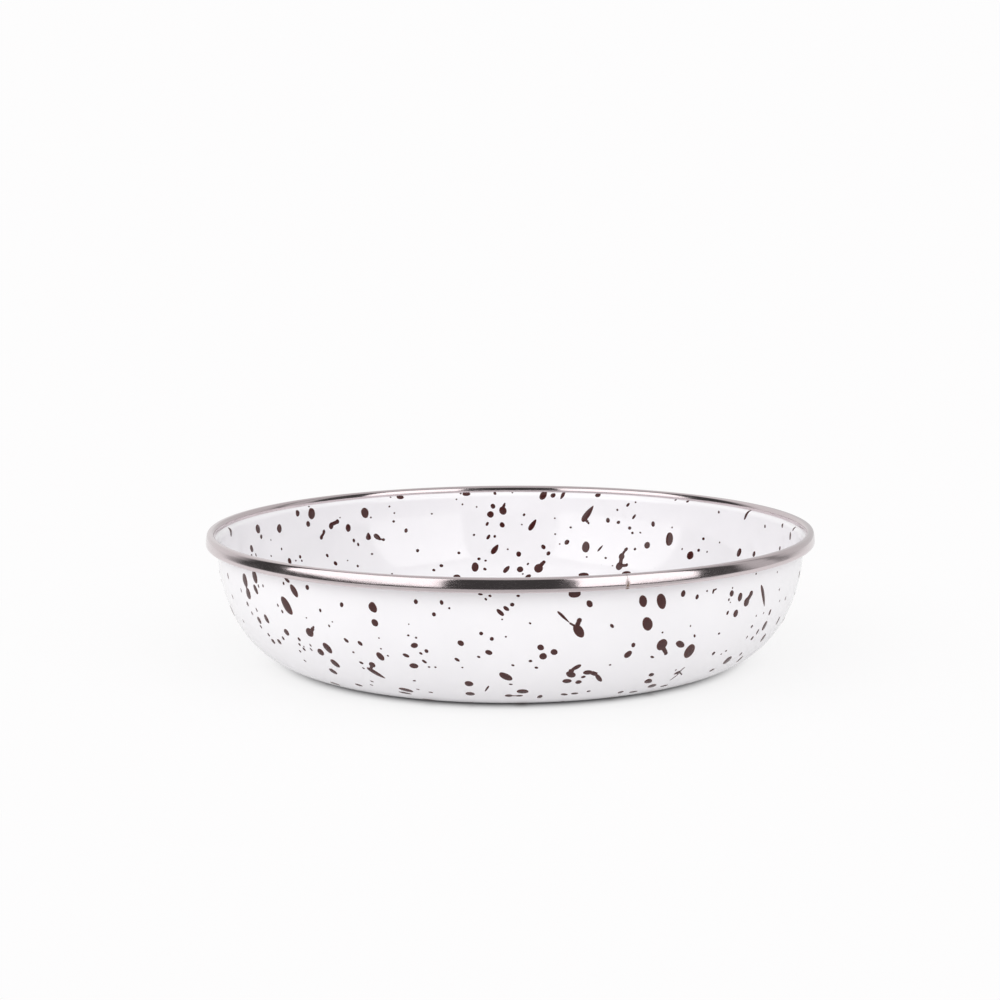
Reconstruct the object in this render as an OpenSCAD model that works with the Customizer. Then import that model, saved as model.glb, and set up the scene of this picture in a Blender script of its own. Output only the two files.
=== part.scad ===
// Enamel basin bowl: a pressed steel shell in white enamel, brown splatter inside and out,
// and a stainless strip rolled over its flared rim. It stands on its flat base, +Z up,
// with the origin at the middle of the resting face and the front of the bowl towards -Y.

/* [Bowl] */
// Diameter over the rim band
rim_diameter = 280; // [230:1:400]
// Height from the resting face to the top of the rim band
bowl_height = 60; // [52:1:120]
// Sideways reach of the curved wall, from the flat base out to the neck under the rim
wall_reach = 40; // [30:0.5:70]
// Outer radius of the bend where it leaves the flat base
corner_radius = 38; // [15:0.5:60]
// Height below the neck over which the side turns in: more of it makes a fuller wall
side_rise = 27.5; // [10:0.5:40]
// How far the rim band stands out past the neck
rim_overhang = 5; // [4.5:0.1:8]

/* [Sheet and enamel] */
// Thickness of the pressed steel
steel_thickness = 0.8; // [0.5:0.05:1.2]
// Thickness of the white enamel on each side
enamel_thickness = 0.25; // [0.15:0.05:0.4]
// Outer radius of the flare that turns the wall out into the flange
flare_radius = 1.7; // [1:0.1:2.5]

/* [Rim band] */
// Height of the band
band_height = 6; // [5:0.1:8]
// Width of the band, seen from above
band_width = 4; // [3.5:0.1:5]
// How far the band leans in towards the bowl as it rises, as a part of its height
band_lean = 0.12; // [0:0.01:0.3]
// Thickness of the rolled strip
band_sheet = 0.4; // [0.3:0.05:0.6]
// Space between the flange's edge and the inside of the band
flange_clearance = 0.4; // [0.2:0.05:0.8]
// Gap between the strip's two ends at the butt seam
seam_gap = 0.25; // [0.1:0.05:1]
// Place of the butt seam, in degrees to the right of the front
seam_angle = 19; // [0:1:359]

/* [Splatter] */
// Height of a drop's edge over the white enamel
drop_edge = 0.1; // [0.05:0.01:0.2]
// Height of the doming of a large drop over its edge
drop_dome = 0.08; // [0.03:0.01:0.2]
// Height of the doming of a small drop as a part of its width
drop_doming = 0.05; // [0.03:0.01:0.1]
// Unit that the drops' lengths, widths and bends are listed in
drop_unit = 1; // [0.5:0.05:2]
// Longest of the drops that are thrown at random
thrown_longest = 6.5; // [3:0.5:8]
// Shortest of the drops that are thrown at random
thrown_shortest = 1.6; // [0.8:0.1:2.5]
// Seed of the drops that are thrown at random
thrown_seed = 11; // [1:1:99]

/* [Hidden] */
$fn = 180;
wall_steps = 48;
flare_steps = 24;
band_steps = 36;
// The strip's turn from its inner lip round to the middle of its underside
band_turn = 270;
// Below 1 the band's section is a rounded oblong, at 1 it is an oval
band_roundness = 0.52;
// The same for the inner shoulder, where the strip is rolled over more softly
shoulder_roundness = 1;
degree = 180 / PI;

wall_thickness = steel_thickness + 2 * enamel_thickness;
rim_r = rim_diameter / 2;
neck_r = rim_r - rim_overhang;
base_r = neck_r - wall_reach;
flange_top = bowl_height - band_height / 2;
flange_end_r = band_wall_r(band_sheet) - flange_clearance;
neck_z = flange_top - wall_thickness - flare_radius;

// The wall is one smooth curve that leaves the base level, with the bend's radius there,
// and stands upright at the neck
base_handle = sqrt(2 / 3 * corner_radius * (neck_z - side_rise));
wall_handles = [
    [base_r, 0],
    [base_r + base_handle, 0],
    [neck_r, neck_z - side_rise],
    [neck_r, neck_z]
];

function reversed(list) = [for (i = [len(list) - 1 : -1 : 0]) list[i]];

function between(list, t) = [for (i = [1 : len(list) - 1]) list[i - 1] * (1 - t) + list[i] * t];

// Points of the wall's section, a given depth in from the outer face

function curve_point(t, depth) =
    let (
        ends = between(between(wall_handles, t), t),
        along = ends[1] - ends[0],
        inward = [-along.y, along.x] / norm(along)
    )
    ends[0] * (1 - t) + ends[1] * t + depth * inward;

function flare_point(turn, depth) =
    [neck_r + flare_radius - (flare_radius + depth) * cos(turn), neck_z + (flare_radius + depth) * sin(turn)];

function skin(depth) = concat(
    [[0, depth]],
    [for (i = [0 : wall_steps]) curve_point(i / wall_steps, depth)],
    [for (i = [1 : flare_steps]) flare_point(90 * i / flare_steps, depth)],
    [[flange_end_r, flange_top - wall_thickness + depth]]
);

// The same section by the distance run up from the edge of the flat base, for placing drops

function chord(i) = norm(curve_point(i / wall_steps, 0) - curve_point((i - 1) / wall_steps, 0));

run_steps = [for (i = 0, run = 0; i <= wall_steps; i = i + 1, run = run + chord(i)) [run, i / wall_steps]];
wall_run = run_steps[wall_steps][0];

function skin_at(run, depth) =
    let (flare_run = (flare_radius + depth) * 90 / degree, past = run - wall_run)
    run < 0 ? [base_r + run, depth]
    : past < 0 ? curve_point(lookup(run, run_steps), depth)
    : past < flare_run ? flare_point(past / (flare_radius + depth) * degree, depth)
    : [neck_r + flare_radius + past - flare_run, neck_z + flare_radius + depth];

module coat(from, to) {
    rotate_extrude()
        polygon(concat(skin(from), reversed(skin(to))));
}

// Rim band

band_bottom = bowl_height - band_height;

function signed_power(x, e) = sign(x) * pow(abs(x), e);

// The leaning section about its middle, from the inner lip over the top and the outer face
// to the middle of the underside
function band_section(inset) = [
    for (i = [0 : band_steps])
        let (
            t = 180 - band_turn * i / band_steps,
            roundness = t > 90 ? shoulder_roundness : band_roundness,
            up = (band_height / 2 - inset) * signed_power(sin(t), roundness)
        )
        [(band_width / 2 - inset) * signed_power(cos(t), roundness) - band_lean * up, up]
];

// Radius of the section's middle, which puts its widest point at the rim's diameter
function band_mid_r(inset) = rim_r - inset - max([for (p = band_section(inset)) p.x]);

function band_wall_r(inset) = band_mid_r(inset) + band_width / 2 - inset;

function band_curve(inset) = [for (p = band_section(inset)) [band_mid_r(inset), flange_top] + p];

// Height of the inner enamel under the band's inner lip
function lip_seat(r) =
    let (in = neck_r + flare_radius - r)
    in > 0 ? neck_z + sqrt(pow(flare_radius + wall_thickness, 2) - pow(in, 2)) : flange_top;

// Radius of the outer enamel where the band's lower edge closes on it
height_steps = [for (i = [0 : wall_steps]) let (p = curve_point(i / wall_steps, 0)) [p.y, p.x]];

function hem_seat(z) =
    let (up = z - neck_z)
    up > 0 ? neck_r + flare_radius - sqrt(pow(flare_radius, 2) - pow(up, 2)) : lookup(z, height_steps);

function strip_face(inset) =
    let (lip_r = band_curve(inset)[0].x, hem_z = band_bottom + inset)
    concat([[lip_r, lip_seat(lip_r)]], band_curve(inset), [[hem_seat(hem_z), hem_z]]);

// Drops: a place to the right of the front or back middle (degrees), a height up the wall
// (percent of its run), length, width (in drop units), lean of the length from level (degrees),
// taper (below 0: fat at its start) and bend (in drop units)

big_drop = 3.5;
small_drop = 2;
big_stations = 6;
middle_stations = 4;
small_stations = 3;

function spine_point(t, drop) = [drop[2] / 2 * t, drop[6] * (1 - t * t)];

function spine_side(t, drop) =
    let (along = [drop[2] / 2, -2 * drop[6] * t])
    [-along.y, along.x] / norm(along);

function half_width(t, drop) = drop[3] / 2 * sqrt(1 - t * t) * (1 + drop[5] * t);

function leaned(p, lean) = [p.x * cos(lean) - p.y * sin(lean), p.x * sin(lean) + p.y * cos(lean)];

// A point of a drop on the wall: along and up from its middle, and its height over the enamel
function wall_point(drop, inside, along, height) =
    let (
        p = leaned(along, drop[4]),
        run = drop[1] / 100 * wall_run,
        mid = skin_at(run, inside ? wall_thickness : 0),
        place = skin_at(run + p.y, inside ? wall_thickness + height : -height),
        round = drop[0] + p.x / mid.x * degree,
        turn = inside ? 90 - round : round - 90
    )
    [place.x * cos(turn), place.x * sin(turn), place.y];

// One cut across a drop: left edge, crest and right edge, then the right and left foot
function drop_cut(t, drop, inside) =
    let (
        mid = spine_point(t, drop),
        side = spine_side(t, drop) * half_width(t, drop),
        crest = drop_edge + min(drop_dome, drop_doming * drop[3]) * sqrt(1 - t * t)
    )
    [
        wall_point(drop, inside, mid + side, drop_edge),
        wall_point(drop, inside, mid, crest),
        wall_point(drop, inside, mid - side, drop_edge),
        wall_point(drop, inside, mid - side, 0),
        wall_point(drop, inside, mid + side, 0)
    ];

drop_values = 7;
drop_lengths = [2, 3, 6];

function full(drop) = [
    for (i = [0 : drop_values - 1])
        (i < len(drop) ? drop[i] : 0) * (len(search(i, drop_lengths)) > 0 ? drop_unit : 1)
];

module drop(drop, inside) {
    shape = full(drop);
    last = shape[2] > big_drop ? big_stations : shape[2] > small_drop ? middle_stations : small_stations;
    cuts = [for (i = [1 : last - 1]) drop_cut(-cos(180 * i / last), shape, inside)];
    sides = len(cuts[0]);
    tips = [for (t = [-1, 1]) wall_point(shape, inside, spine_point(t, shape), 0)];
    first = sides * len(cuts);
    strips = [
        for (i = [0 : len(cuts) - 2], k = [0 : sides - 1])
            let (a = sides * i + k, b = sides * i + (k + 1) % sides)
            each [[b, a, a + sides], [b, a + sides, b + sides]]
    ];
    caps = [
        for (k = [0 : sides - 1])
            let (next = (k + 1) % sides, far = first - sides)
            each [[first, k, next], [first + 1, far + next, far + k]]
    ];
    polyhedron([for (cut = cuts) each cut, each tips], concat(strips, caps));
}

// A row of drops thrown along one height, each within its own stretch so that none meet

// Part of its stretch that a drop keeps clear at each end
thrown_margin = 0.2;
// Distance up and down the wall over which a row is scattered
thrown_spread = 6.7;
// Width of a drop as a part of its length
thrown_slimmest = 0.4;
thrown_widest = 0.9;
thrown_lean_from = 60;
thrown_lean_to = 150;
chances = 5;

function percent_up(run) = run / wall_run * 100;

function thrown(up, span, count, seed) =
    let (luck = rands(0, 1, chances * count, thrown_seed + seed), stretch = (span[1] - span[0]) / count)
    [
        for (i = [0 : count - 1])
            let (
                c = [for (k = [0 : chances - 1]) luck[chances * i + k]],
                length = thrown_shortest + (thrown_longest - thrown_shortest) * pow(c[0], 2),
                width = length * (thrown_slimmest + (thrown_widest - thrown_slimmest) * c[3])
            )
            [
                span[0] + stretch * (i + thrown_margin + (1 - 2 * thrown_margin) * c[1]),
                up + percent_up(thrown_spread) * (c[2] - 0.5),
                length / drop_unit,
                width / drop_unit,
                thrown_lean_from + (thrown_lean_to - thrown_lean_from) * c[4]
            ]
    ];

// Drops that show on the front of the outside, read off by eye
front_drops = [
    [-67, 89, 3, 1.6, 105], [-66.5, 76.5, 2.4, 1.1, 110], [-64.5, 62, 2, 1, 100], [-60, 84, 2, 1, 110],
    [-57.5, 91.2, 6.1, 4.6, 104], [-56.8, 83.6, 5.2, 4.4, 104], [-58.2, 76.7, 2.4, 1.8, 115],
    [-57.2, 71.5, 1.8, 1.4, 115], [-54.7, 74.9, 2, 1.1, 115], [-53.4, 95.2, 6, 3.8, 118],
    [-53.5, 87.8, 4.9, 2.2, 129], [-52.3, 90.3, 1.6, 1.1, 110], [-50.7, 91.2, 1.4, 1.1, 110],
    [-54.9, 68.3, 3.6, 2.8, 112], [-51.7, 70.9, 4.3, 3, 116], [-55.2, 64, 1.8, 1.4, 112],
    [-53.2, 59.8, 1.9, 1.7, 115], [-52.6, 55.6, 2.8, 2.8, 110], [-50.1, 56.9, 2.8, 2.7, 110],
    [-48, 60.5, 2, 1.7, 118], [-46.1, 65.4, 3.4, 3.2, 112], [-42.9, 62.5, 2, 1.8, 115],
    [-43.4, 58.8, 1.5, 1.4, 118], [-42.6, 56, 1.9, 1.5, 120], [-42.3, 57.9, 0.9, 0.8, 0],
    [-44.2, 53.6, 1.4, 1.3, 125], [-40.2, 59.9, 1.5, 1, 122], [-40.5, 56.9, 1.8, 1, 128],
    [-39.3, 68.6, 4.2, 4.6, 90], [-38, 72.3, 1.5, 1.2, 60], [-44.1, 82.6, 9, 3.9, 128],
    [-41.6, 92.2, 6.3, 2.7, 130], [-43.3, 97.6, 3.8, 1.4, 155], [-44.3, 95.3, 1.5, 1.3, 120],
    [-46.7, 81.7, 1.5, 1.1, 115], [-45.7, 78.4, 1.8, 1.2, 118], [-38.2, 95.4, 2.2, 2.2, 110],
    [-35.6, 83.3, 1.7, 1.3, 95], [-34.1, 74.8, 1.3, 1, 110], [-33.2, 77.5, 0.8, 0.7, 0],
    [-39.3, 77.5, 0.8, 0.7, 0], [-35.9, 60.1, 5.6, 3.4, 126], [-38.1, 56.3, 3.6, 3.7, 115],
    [-35.6, 49.3, 5.2, 3.3, 134], [-37.5, 41.8, 4.4, 2.8, 140], [-44.4, 46.3, 1.6, 1, 140],
    [-41.5, 25, 5.4, 2.8, 172], [-30.9, 67.1, 2.6, 1.5, 142], [-28, 66.3, 2.7, 1.6, 140],
    [-30.7, 88.2, 2.2, 1.8, 75], [-24.4, 88.4, 4.6, 3.7, 128, 0.15], [-24.3, 79.8, 3.5, 2.8, 118],
    [-24.4, 59, 4.4, 3.1, 124], [-26.7, 52.4, 3.1, 3, 150], [-26.6, 46.1, 8.6, 2.6, 141, 0.25],
    [-29, 52.9, 2.2, 1.2, 160], [-29, 48.9, 1.3, 0.9, 150], [-28.7, 37.8, 1.8, 0.9, 155],
    [-29.5, 33.6, 1.6, 0.9, 150], [-33.2, 30.9, 3.8, 1.8, 165], [-21.8, 32.2, 6.2, 2.6, 163],
    [-22.6, 27.9, 5.6, 1.6, 165], [-17.3, 68, 3.3, 2.4, 20], [-19.2, 61.2, 3, 1.5, 155],
    [-18.1, 54.4, 4, 2.8, 3], [-16.3, 63.2, 1.6, 1.2, 150], [-15.2, 64.9, 1.9, 1.7, 90],
    [-15.9, 57.9, 2.5, 1, 140], [-16.4, 93.3, 2.1, 1.8, 100], [-22.8, 60, 1.1, 0.8, 150],
    [-18.2, 73.9, 1.1, 1, 0], [-16.8, 72.8, 1, 1, 0], [-17.9, 80.5, 0.7, 0.6, 0],
    [-23.9, 70.9, 0.8, 0.7, 0], [-23.9, 64.2, 0.9, 0.8, 0], [-30, 59.8, 1.2, 1, 0],
    [-18.9, 42.6, 1.5, 0.9, 10], [-19, 34.3, 1.6, 0.8, 170], [-16.5, 31.8, 2, 1.1, 165],
    [-11.9, 93.5, 2, 1.6, 100], [-10.6, 90.5, 1, 0.9, 0], [-13.3, 86.8, 1.8, 1.7, 90],
    [-15.2, 54.3, 1.2, 0.9, 0], [-14, 54.4, 1.1, 0.9, 0], [-9, 55, 0.9, 0.8, 0],
    [-8.9, 70.7, 2.9, 2.3, 125], [-9.8, 60.2, 2.5, 1.2, 140], [-5.3, 76.7, 1.7, 1.6, 90],
    [-3.5, 73.6, 1.8, 1.7, 90], [-4.1, 65.3, 3, 2.2, 155], [-5.9, 62.4, 1.5, 1.1, 160],
    [-8.2, 42.5, 3.7, 3.5, 0], [-8.4, 32.3, 3.8, 3.4, 175], [-4.9, 38.2, 4.8, 0.9, 66, 0.35],
    [-1.2, 48.8, 6.5, 3.2, 138], [-0.3, 42.5, 1.7, 1, 170], [0.1, 57, 1.5, 1, 150],
    [-1.1, 74.9, 0.9, 0.8, 0], [-1.7, 84.8, 0.8, 0.7, 0], [-5.3, 98.4, 2, 0.9, 175],
    [-3.7, 97.6, 1.4, 1, 165], [-4.4, 95.8, 1.3, 0.9, 140], [-2, 88.6, 3.9, 1.6, 138],
    [-1, 90.8, 2.7, 1.4, 140], [0, 92.9, 1.8, 1.6, 0], [1, 97.6, 1.5, 1, 0], [3, 82.5, 1.2, 0.8, 140],
    [4.9, 68.2, 3, 2.5, 130], [5.4, 62.6, 3.1, 3.3, 0], [7.3, 65.1, 3.1, 2.7, 135],
    [3.2, 59.7, 1.6, 1.3, 0], [4.3, 55.1, 1.6, 1.2, 165], [10.5, 97.8, 5.2, 2.9, 0],
    [13.1, 92.2, 3.3, 2.2, 122], [8.7, 85.4, 7.6, 1.1, 135, 0.5], [11.4, 77.2, 6.8, 3.2, 122],
    [11.4, 83.2, 2.4, 2.1, 92], [11.6, 54.2, 4.8, 1.9, 34], [10.8, 49.2, 4.8, 2.9, 142],
    [14, 50, 4.4, 2.4, 175], [16.4, 45, 6.4, 2, 124], [10.3, 44, 3.9, 2.8, 170],
    [12.6, 42.6, 2.7, 2.5, 165], [13.3, 46.7, 2.1, 1.4, 15], [2, 35.5, 5, 3.4, 176],
    [-0.7, 30.7, 3.4, 2.3, 0], [1.4, 30.5, 3, 1.4, 0], [5.6, 28.6, 3.6, 2.1, 85],
    [10.5, 30.4, 3.4, 1.9, 155], [12.6, 30.9, 3.2, 1.9, 0], [15.4, 32.6, 1.8, 1.4, 0],
    [18, 54.4, 1.1, 0.9, 0], [22.8, 91.6, 5.2, 3.3, 107], [26.4, 90.5, 7, 4.1, 110],
    [24, 78.4, 6.8, 3.9, 116], [30.8, 93.4, 2.9, 2.2, 68], [33.9, 90.5, 2.2, 1.7, 80],
    [17.3, 79, 2.2, 1.2, 135], [21.8, 66.4, 2.4, 1.8, 105], [21.1, 60.6, 3.9, 3, 52],
    [27.7, 64.6, 5.6, 5, 90], [29.1, 58.4, 2, 1.8, 95], [31.8, 63.2, 5.6, 2.7, 148],
    [34.6, 57.3, 7.3, 5.1, 92], [34.7, 67.3, 1.9, 1.1, 120], [27.3, 72.3, 1, 0.9, 0],
    [26.3, 57, 2.2, 0.9, 155], [27.7, 43, 3, 2.2, 160], [28, 36.8, 4.6, 3.2, 148, 0.3],
    [30, 30.4, 4.4, 3.4, 165], [23.1, 27, 2.6, 2.6, 0], [26.5, 24.9, 4, 1.8, 0],
    [33.8, 27.4, 4, 1.5, 5], [33.2, 74, 1, 0.7, 90], [34.2, 41.2, 3.4, 1.5, 25],
    [35.1, 44.3, 1.8, 0.7, 55], [33.3, 44, 1, 0.9, 0], [34.2, 36.6, 4.8, 0.7, 62],
    [35.8, 38.6, 1.5, 0.7, 135], [36.1, 93, 1, 0.9, 0], [37.6, 92.2, 2.2, 1.1, 80],
    [38.2, 93.2, 1.1, 0.8, 20], [42.5, 92.2, 1, 0.8, 90], [42.4, 89.1, 2.9, 2.5, 108],
    [41.8, 85.8, 1.3, 1.1, 90], [42.3, 84, 0.8, 0.6, 0], [44.9, 85.9, 3.9, 2.9, 84],
    [47.1, 82, 4.2, 3.8, 86], [48.2, 86.4, 2.8, 2.7, 68], [52.6, 83, 12.6, 2.1, 120, 0.25],
    [44.4, 76.5, 3.6, 3.1, 110], [42, 78, 2, 1.5, 75], [51.2, 64.8, 1.7, 1.6, 0],
    [51.6, 71.3, 1, 0.9, 90], [54.3, 71.6, 1, 0.8, 90], [57.2, 70.4, 3, 2.1, 88],
    [57, 61.8, 5, 3.5, 92], [54.7, 59.2, 2.8, 1.7, 85], [53.6, 55.4, 2.2, 2.3, 90],
    [51, 57.8, 1.6, 1, 80], [60, 51.5, 4.6, 3.6, 85], [48.6, 42, 5, 5, 88], [55, 38, 4.4, 2.6, 85],
    [52.8, 44.2, 2.2, 1.7, 85], [41.7, 52, 2, 2, 0], [45.5, 51.5, 1.3, 1, 0], [44.4, 49.9, 1, 0.9, 0],
    [41, 65.8, 1.4, 1.1, 0], [45.5, 35.5, 3, 1.9, 20], [64.8, 60.3, 4.5, 2.3, 85],
    [64.3, 75, 2, 1.2, 85], [60.8, 75.5, 1.2, 0.9, 90], [59.3, 83.2, 1.3, 1, 90],
    [57.3, 94.5, 1, 0.8, 90], [49.3, 97.3, 1.1, 0.9, 0]
];

// Drops that show on the far wall of the inside, read off by eye
back_drops = [
    [-82.6, 100.6, 5.2, 3.2, 98], [-68.3, 95.5, 5.2, 4, 120], [-67.2, 89.7, 2.5, 2.2, 100],
    [-60.1, 92.1, 4.8, 3.8, 97], [-53.7, 100.1, 3.6, 3, 92], [-72, 84, 4, 3, 118],
    [-72.6, 79.8, 1.7, 1.3, 0], [-70.6, 79, 1.9, 1.2, 100], [-60.3, 78, 1.5, 1.2, 90],
    [-63.6, 85.8, 1, 0.8, 90], [-64.6, 75.2, 1.2, 1, 90], [-58.5, 68.6, 3.5, 2.8, 98],
    [-54.7, 69.9, 2, 1.8, 90], [-54.5, 67, 1.4, 1.2, 90], [-56.4, 68, 1.2, 1, 0],
    [-49.4, 98.2, 6.2, 5, 95], [-50.6, 91.4, 3.3, 2.8, 95], [-49.7, 103.8, 1.2, 1, 0],
    [-46.2, 84, 2.8, 2, 68], [-47.1, 80.6, 2.6, 2.2, 62], [-43.9, 87.7, 4, 2.9, 60],
    [-42.1, 90, 2.6, 2.5, 62], [-41.3, 92.6, 0.9, 0.8, 0], [-39.3, 84.6, 4.4, 3.1, 88],
    [-34.6, 94, 6, 4.3, 116], [-33.1, 90.3, 1.2, 1, 0], [-38.2, 75.2, 2.2, 1.7, 90],
    [-37.2, 72, 2, 1.5, 95], [-34.2, 77, 4.2, 3, 88, -0.45], [-31.9, 75.8, 5.2, 2.7, 142, 0.2],
    [-30.4, 73.5, 1.9, 1.6, 0], [-46.4, 67.3, 2.2, 1.7, 115], [-44.6, 60.8, 2.7, 2.2, 110],
    [-38.6, 56.5, 1.6, 1.4, 90], [-41, 61.5, 1, 0.8, 0], [-34, 64, 1.5, 1.2, 0],
    [-27.4, 86, 1.6, 1.5, 0], [-28.3, 97, 1.2, 1.1, 0], [-27.1, 92, 1.1, 1, 0],
    [-25.4, 103.3, 4.4, 1.8, 0], [-27.7, 104, 1, 0.7, 0], [-9.7, 103.3, 4.4, 1.8, 0],
    [-11, 104, 1, 0.8, 0], [-3.1, 103.3, 1.8, 1.7, 90], [0.9, 104, 1, 0.7, 0], [-12.1, 99.5, 1, 0.9, 0],
    [-10.7, 95.7, 1.1, 1.1, 0], [-7.4, 93.5, 1, 1, 0], [-18, 89.7, 1.2, 1, 0], [-8.2, 73, 1.4, 1.3, 0],
    [-24.5, 78.7, 2.6, 2, 65], [-22.2, 63.4, 2.1, 1.8, 65], [-12.1, 60, 1.8, 1.7, 0],
    [-16.8, 50.8, 2.2, 2, 0], [-18.9, 47.7, 1.9, 1.7, 0], [-30, 47.5, 1.3, 1, 30],
    [-8.4, 48.5, 5.8, 3.9, 78], [-7.3, 54.9, 1.9, 1.8, 0], [-5.7, 53.4, 1.4, 1.3, 0],
    [-6, 46.7, 2.1, 1.6, 150], [-13.3, 41, 4.2, 3.2, 0], [-3.6, 93.8, 2.9, 2.6, 115],
    [-4.2, 87.8, 3.9, 3.6, 100], [-1.3, 90.5, 5, 3.9, 105], [-0.9, 95.4, 1.4, 1.2, 80],
    [-5, 80.9, 2.5, 1.6, 60], [-1.5, 80, 3.2, 2.7, 130], [-4.8, 71.2, 3.2, 1.8, 55],
    [-3.3, 71.6, 1.8, 1.5, 80], [-3.3, 62, 6.6, 2.9, 57, -0.35], [-0.25, 61.9, 1.2, 1, 0],
    [3.6, 87.4, 1.7, 1.5, 60], [3.1, 80.2, 1, 0.9, 0], [5.6, 80, 7.6, 2.7, 57, -0.35],
    [8, 101.5, 5.2, 3.1, 50], [10.3, 102.1, 3.1, 2.7, 60], [12.5, 101.8, 4.4, 1.9, 62, 0.4],
    [10.8, 85.2, 1.1, 0.9, 0], [11, 73.5, 1.2, 1, 0], [14.6, 78.8, 1.4, 1.2, 0],
    [12.2, 66.3, 1, 0.9, 0], [13.9, 67.8, 3.1, 2.5, 60], [8.3, 63.8, 3, 2.2, 128],
    [9.6, 59, 2.7, 2, 60], [2.4, 58.2, 3.2, 2.8, 95], [-0.6, 46.2, 5.3, 2.5, 53, -0.2],
    [2.8, 46.2, 3.6, 3.7, 0], [4.7, 50.6, 1.7, 1.2, 55], [3.5, 42.4, 1.2, 1, 30],
    [4.9, 40.4, 3.4, 2.2, 35], [7.4, 47.2, 5.5, 5, 90], [8.6, 52.2, 2.2, 2, 45],
    [18.6, 89.4, 11.2, 3.2, 55, -0.5], [18.8, 82.6, 1.8, 1.2, 120], [23.5, 85.2, 3, 2.2, 100],
    [26.1, 84.2, 2.2, 1.8, 45], [25.7, 93.2, 1.3, 1.3, 0], [28.3, 97.3, 2.8, 1.5, 50],
    [30.2, 99.6, 1.2, 1, 0], [29.9, 89, 3.4, 0.8, 55], [29, 80.7, 2.1, 1.9, 0],
    [29.8, 77.3, 1.6, 1.5, 0], [31.8, 78, 1.4, 0.9, 150], [34.9, 85, 3.1, 2.3, 100],
    [39.5, 75.4, 7.4, 4.7, 97, 0, -0.4], [40, 84, 1.1, 0.9, 90], [43.6, 69.6, 1.2, 1, 90],
    [34, 69.4, 3.9, 3.5, 90], [31, 65.8, 1.6, 1.6, 0], [18.6, 64.8, 6.6, 3.8, 92],
    [19.1, 57.4, 1.2, 1, 0], [22.2, 64.5, 4.6, 1.2, 55, -0.4], [23.9, 57.5, 1.5, 1.3, 0],
    [26, 52, 1, 0.8, 0], [28.7, 64.9, 2.8, 1.7, 52], [27.9, 59.5, 4, 3.3, 90],
    [27.8, 52.1, 4.9, 3.9, 75], [29.6, 53.4, 2.2, 1.7, 80], [30.1, 47, 5.2, 2.4, 12],
    [19.1, 43, 6, 2.7, 0], [20.8, 103.2, 3.2, 1.8, 0], [40.2, 104, 1.2, 0.8, 0],
    [43.5, 103.8, 1.8, 1.1, 0], [53.2, 99.2, 1.6, 1.4, 90], [62.4, 100.8, 6.4, 1.4, 60],
    [49.2, 79, 1.9, 1.7, 0], [48.4, 70.5, 2, 1.8, 0], [51, 70.4, 1.2, 1, 90], [54.3, 78.4, 1.1, 1, 0],
    [46.3, 66, 4.7, 4.5, 90], [61.4, 74.4, 4.8, 3.3, 75], [67, 76, 3.2, 2.6, 75],
    [70, 96.3, 1.8, 1.7, 75], [78.5, 100.8, 2.4, 2.2, 60], [78.2, 85.6, 2.2, 2.1, 80],
    [84, 96.6, 4.4, 2.8, 80], [85.8, 102.4, 2.8, 1.9, 70]
];

// Drops that the front view does not show: rows of them, in percent up the wall and degrees round it

rear_heights = [15 : 12 : 87];
foot_heights = [15];
near_heights = [3 : 12 : 87];
low_heights = [3 : 12 : 27];
rear_span = [70, 290];
rear_count = 17;
rear_seed = 100;
foot_span = [-68, 68];
foot_count = 13;
foot_seed = 200;
near_span = [92, 268];
near_count = 13;
near_seed = 300;
low_span = [-88, 88];
low_count = 12;
low_seed = 400;

rear_drops = [for (up = rear_heights) each thrown(up, rear_span, rear_count, rear_seed + up)];
foot_drops = [for (up = foot_heights) each thrown(up, foot_span, foot_count, foot_seed + up)];
near_drops = [for (up = near_heights) each thrown(up, near_span, near_count, near_seed + up)];
low_drops = [for (up = low_heights) each thrown(up, low_span, low_count, low_seed + up)];

// The inside floor: rings of drops
ring_spacing = 16;
ring_pitch = 21;
ring_seed = 500;
floor_drops = [
    for (r = [ring_spacing : ring_spacing : base_r - ring_spacing / 2])
        let (count = floor(2 * PI * r / ring_pitch))
        each thrown(percent_up(r - base_r), [0, 360], count, ring_seed + round(r / ring_spacing))
];

module steel_shell() {
    color("slategray")
        coat(enamel_thickness, enamel_thickness + steel_thickness);
}

module inner_enamel() {
    color("white")
        coat(enamel_thickness + steel_thickness, wall_thickness);
}

module outer_enamel() {
    color("whitesmoke")
        coat(0, enamel_thickness);
}

module rim_band() {
    gap_turn = seam_gap / rim_r * degree;
    color("silver")
        rotate([0, 0, seam_angle - 90 + gap_turn / 2])
            rotate_extrude(angle = 360 - gap_turn)
                polygon(concat(strip_face(0), reversed(strip_face(band_sheet))));
}

module splatter_inside() {
    color("#4a3030")
        for (each_drop = concat(back_drops, near_drops, low_drops, floor_drops))
            drop(each_drop, true);
}

module splatter_outside() {
    color("#4a3030")
        for (each_drop = concat(front_drops, rear_drops, foot_drops))
            drop(each_drop, false);
}

steel_shell();
inner_enamel();
outer_enamel();
rim_band();
splatter_inside();
splatter_outside();
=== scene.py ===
import math
import random

import bpy
import numpy as np
from mathutils import Matrix


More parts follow.
